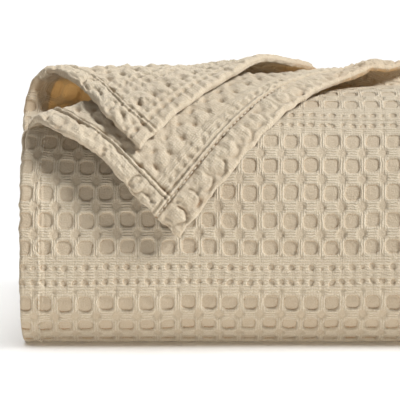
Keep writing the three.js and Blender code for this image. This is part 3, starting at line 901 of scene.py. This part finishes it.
def cotton_material(name, warm):
    material, t = new_finish(name)
    place = t.add("ShaderNodeTexCoord", out=3)
    split = t.add("ShaderNodeSeparateXYZ", out=None,
                  Vector=t.add("ShaderNodeUVMap", {"uv_map": "cloth"}))
    u, v = Value(t, split.outputs[0]), Value(t, split.outputs[1])
    lift, thin, level, ring = (read(t, label) for label in ("lift", "thin", "level", "ring"))
    soft, fibre = cloud(t, place, 60.0, 3.0), cloud(t, place, 1900.0, 3.0, 0.65)
    slub, wander = cloud(t, place, 420.0), cloud(t, place, 700.0, 1.0, 0.5)
    turn = 2 * math.pi * UV_MM
    pad = (ring * 3.0 - 7.6).clamp()
    ribs_level = (v * (turn / RIB_LEVEL) + slub * 5.0 + wander * 4.0).sine()
    ribs_up = (u * (turn / RIB_UP) + slub * 5.0 + wander * 4.0).sine()
    one_way = t.add("ShaderNodeMath", {"operation": "ABSOLUTE"}, i0=level * 2.0 - 1.0)
    ribs = (ribs_level * level + ribs_up * (1.0 - level)) * (one_way * 0.4 + 0.6)
    ribs = ribs * ((lift - 0.3) * 2.0).clamp() * (wander * 2.4 - 0.3).clamp() * (1.0 - pad)
    off_edge = (ring + 0.5 + (slub - 0.5) * 0.5) * 0.4
    # Pale strands along each floor's rim: bump, and a painted highlight in the colour.
    strand_and_highlight = ramp(t, off_edge, (0.15, 0.0), (0.24, 0.9), (0.4, 1.0), (0.52, 0.82), (0.64, 0.95),
                  (0.78, 0.8))
    # A painted shade line along the foot of each floor's wall.
    painted_foot_shade = ramp(t, off_edge, (0.02, 0.0), (0.1, 1.0), (0.17, 1.0), (0.24, 0.0))
    grain = ribs * 0.9 + fibre * 2.6 + slub * 1.8 + strand_and_highlight * 1.7
    bump = t.add("ShaderNodeBump", Strength=0.5, Distance=0.00045, Height=grain)
    # Low parts of the weave and the pads are painted darker and the deep pits brown, as painted
    # shade.
    tone = lift * 0.14 + 0.39 + (soft - 0.5) * 0.3 + (fibre - 0.5) * 1.1
    tone = (tone + ribs * 0.24 + strand_and_highlight * 0.12 - painted_foot_shade * 0.24 - pad * 0.1).clamp()
    yarn = ramp(t, tone, (0.0, 0.33, 0.205, 0.115), (0.22, 0.43, 0.34, 0.24),
                (0.6, 0.48, 0.405, 0.30), (1.0, 0.585, 0.52, 0.41))
    body = t.add("ShaderNodeBsdfPrincipled", **{
        "Base Color": yarn, "Roughness": 0.92, "Normal": bump, "Specular IOR Level": 0.15,
        "Sheen Weight": 0.25, "Sheen Roughness": 0.5, "Sheen Tint": colour(1.0, 0.95, 0.85)})
    through = t.add("ShaderNodeBsdfTranslucent", Color=colour(*warm), Normal=bump)
    share = thin * ((1.9 - ring).clamp() * 0.3 + 0.52) + 0.14
    mixed = t.add("ShaderNodeMixShader", Fac=share, i1=body, i2=through)
    t.add("ShaderNodeOutputMaterial", out=None, Surface=mixed)
    return material


cotton = cotton_material("cotton_waffle", (0.98, 0.76, 0.47))
print("cotton nodes", len(cotton.node_tree.nodes))

# %% [markdown]
# Sewing thread is the same cotton, spun harder and so a little smoother.

# %% Sewing thread
def thread_material():
    material, t = new_finish("sewing_thread")
    place = t.add("ShaderNodeTexCoord", out=3)
    twist = cloud(t, place, 2500.0, 2.0, 0.5)
    bump = t.add("ShaderNodeBump", Strength=0.4, Distance=0.0002, Height=twist)
    tone = t.add("ShaderNodeMix", {"data_type": "RGBA"}, out=2, i0=twist,
                 i6=colour(0.44, 0.37, 0.28), i7=colour(0.54, 0.475, 0.37))
    body = t.add("ShaderNodeBsdfPrincipled", **{
        "Base Color": tone, "Roughness": 0.7, "Normal": bump, "Specular IOR Level": 0.25})
    t.add("ShaderNodeOutputMaterial", out=None, Surface=body)
    return material


thread = thread_material()
print("thread", thread.name)


# %% [markdown]
# The seams. Each line lies on the flat cloth at a set distance from an edge and is bent with it:
# the end hem's, the side hem's on the front and on the turned corner, and the inner layer's.

# %% Seams
def seam_line(layer, s, t, face, rise):
    """Points of a seam on one face of a layer, at a height over the middle of the cloth."""
    mid, out = layer_frame(layer, s, t)
    return mid + (out if face == "near" else -out) * rise


def seam_piece(name, lines, seed):
    mesh = bpy.data.meshes.new(name)
    points, edges = [], []
    for line in lines:
        first = len(points)
        points += [tuple((p + SHIFT) / 1000) for p in line]
        edges += [(first + i, first + i + 1) for i in range(len(line) - 1)]
    mesh.from_pydata(points, edges, [])
    piece = put(name, mesh)
    modifier = piece.modifiers.new("stitches", "NODES")
    modifier.node_group = stitches
    sockets = {i.name: i.identifier for i in stitches.interface.items_tree if i.in_out == "INPUT"}
    modifier[sockets["Seed"]], modifier[sockets["Finish"]] = seed, thread
    graph = bpy.context.evaluated_depsgraph_get()
    made = bpy.data.meshes.new_from_object(piece.evaluated_get(graph))
    piece.modifiers.remove(modifier)
    piece.data = made
    made.name = name
    print(name, "triangles", sum(len(p.vertices) - 2 for p in made.polygons))
    return piece


END_SEAM, SIDE_SEAM, TURNED_SEAM = 13.9, 8.4, 9.9    # mm in from the edge of the cloth
along = np.arange(1.5, 438, 1.0)
seam_end = seam_line(OUTER, along, outer_end - END_SEAM + 0 * along, "far", 0.55)
down = np.arange(4.0, OUTER["fold"] - 4, 1.0)
seam_side = seam_line(OUTER, SIDE_SEAM - 0.25 * np.sin(down / 11 + 0.5), down, "near", 1.85)
down = np.arange(OUTER["fold"] + 12, outer_end - 14, 1.0)
seam_flap = seam_line(OUTER, TURNED_SEAM + 0 * down, down, "far", 1.6)
down = np.arange(INNER["fold"] + 22, inner_end - 8, 1.0)
seam_inner = seam_line(INNER, TURNED_SEAM + 0 * down, down, "far", 1.6)
seams_outer = seam_piece("seams_outer", [seam_end, seam_side, seam_flap], 3)
seams_inner = seam_piece("seams_inner", [seam_inner], 5)

# %% [markdown]
# Every piece rides on the one body, and together they stand for the solid.

# %% Dress the frame
cloths = [
    (outer_front, S_SPLIT, front_t[-1] - front_t[0], [seams_outer]),
    (outer_corner, S_SPLIT, corner_t[-1] - corner_t[0], []),
    (outer_rest, BUNDLE_W - S_SPLIT, rest_t[-1] - rest_t[0], []),
    (outer_under, under_s[-1] - under_s[0], under_t[-1] - under_t[0], []),
    (inner_corner, S_INNER, inner_end - T_INNER, [seams_inner]),
    (inner_rest, BUNDLE_W - S_INNER, inner_end - T_INNER, []),
    (inner_low, BUNDLE_W, T_INNER - T_JOIN, []),
    (pile, STRIP_W - 1, pile_long, []),
]
for piece, width, length, extras in cloths:
    piece.data.materials.append(cotton)
    rests = ["outer_under"] if piece in (pile, inner_low) else ["pile"]
    rests = ["floor"] if piece in (outer_front, outer_under) else rests
    width / 1000
    length / 1000
dressed = [c[0] for c in cloths] + [seams_outer, seams_inner]
for piece in dressed:
    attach(piece, "root")
    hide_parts("blanket")
print("pieces", len(dressed))

# %% [markdown]
# The set: a wide pale floor, a soft lamp high on the right that shows the relief, a warm one
# behind that shines through the raised roll, a broad one from below as the light a white floor
# throws back, one for the floor alone, and a white surround. Each lamp lights only the things
# named for it, and the one from below is stopped by the cloth alone.

# %% Floor
mesh = bpy.data.meshes.new("floor")
mesh.from_pydata([(-6, -6, 0), (6, -6, 0), (6, 10, 0), (-6, 10, 0)], [], [(0, 1, 2, 3)])
floor = put("floor", mesh)
pale = bpy.data.materials.new("pale_floor")
pale.use_nodes = True
paint = pale.node_tree.nodes["Principled BSDF"].inputs
paint["Base Color"].default_value = colour(0.95, 0.95, 0.945)
paint["Roughness"].default_value = 0.6
mesh.materials.append(pale)
print("floor", floor.name)


# %% Light
def sun(name, toward, power, spread, tint, only, blocked_by=None):
    """A far lamp, soft by its spread in degrees, that lights only some objects."""
    data = bpy.data.lights.new(name, "SUN")
    data.energy, data.angle, data.color = power, math.radians(spread), tint
    lamp = put(name, data)
    lamp.rotation_euler = Vector(toward).to_track_quat("Z", "Y").to_euler()
    lit = bpy.data.collections.new("lit_by_" + name)
    for piece in only:
        lit.objects.link(piece)
    lamp.light_linking.receiver_collection = lit
    if blocked_by:
        lamp.light_linking.blocker_collection = blocked_by
    return lamp


key = sun("key", (0.72, -0.29, 0.63), 6.3, 14, (0.96, 0.98, 1.0), dressed)
sun("behind", (-0.50, 0.72, 0.48), 2.5, 30, (1.0, 0.97, 0.92), dressed)
sun("bounce", (0.0, -0.5, -0.87), 2.55, 60, (1.0, 0.98, 0.94), dressed,
    key.light_linking.receiver_collection)
sun("floor_light", (0.0, -0.2, 0.98), 3.3, 60, (1.0, 1.0, 1.0), [floor])
world = bpy.data.worlds.new("surround")
world.use_nodes = True
bpy.context.scene.world = world
sky = Tree(world.node_tree)
ray = sky.add("ShaderNodeTexCoord", out=0)
high = Value(sky, sky.add("ShaderNodeSeparateXYZ", out=None, Vector=ray).outputs[2])
# The surround is bright where the floor ends and dim above, so that the relief keeps its shade.
rise = sky.add("ShaderNodeMapRange", Value=high, **{"From Min": 0.03, "From Max": 0.1,
                                                   "To Min": 1.15, "To Max": 0.2})
backing = world.node_tree.nodes["Background"]
world.node_tree.links.new(rise.socket, backing.inputs["Strength"])
backing.inputs["Color"].default_value = colour(1.0, 0.99, 0.97)
bpy.context.scene.view_settings.view_transform = "Standard"
print("lamps set")

# %% [markdown]
# The camera looks straight at the front and 4 degrees down, at the end with the turned corner.

# %% Camera
VIEW, AWAY, TILT = 0.174, 1.1, math.radians(4.0)     # metres shown across, metres off, slope
look = Vector((0, math.cos(TILT), -math.sin(TILT)))
target = Vector((-0.140595, -0.1464, 0.06612 / math.cos(TILT)))
camera = put("camera", bpy.data.cameras.new("camera"))
camera.data.sensor_width = 36.0
camera.data.lens = 36.0 * AWAY / VIEW
camera.data.clip_start, camera.data.clip_end = 0.05, 50.0
camera.location = target - look * AWAY
camera.rotation_euler = look.to_track_quat("-Z", "Y").to_euler()
bpy.context.scene.camera = camera
print("camera at", [round(v, 3) for v in camera.location])
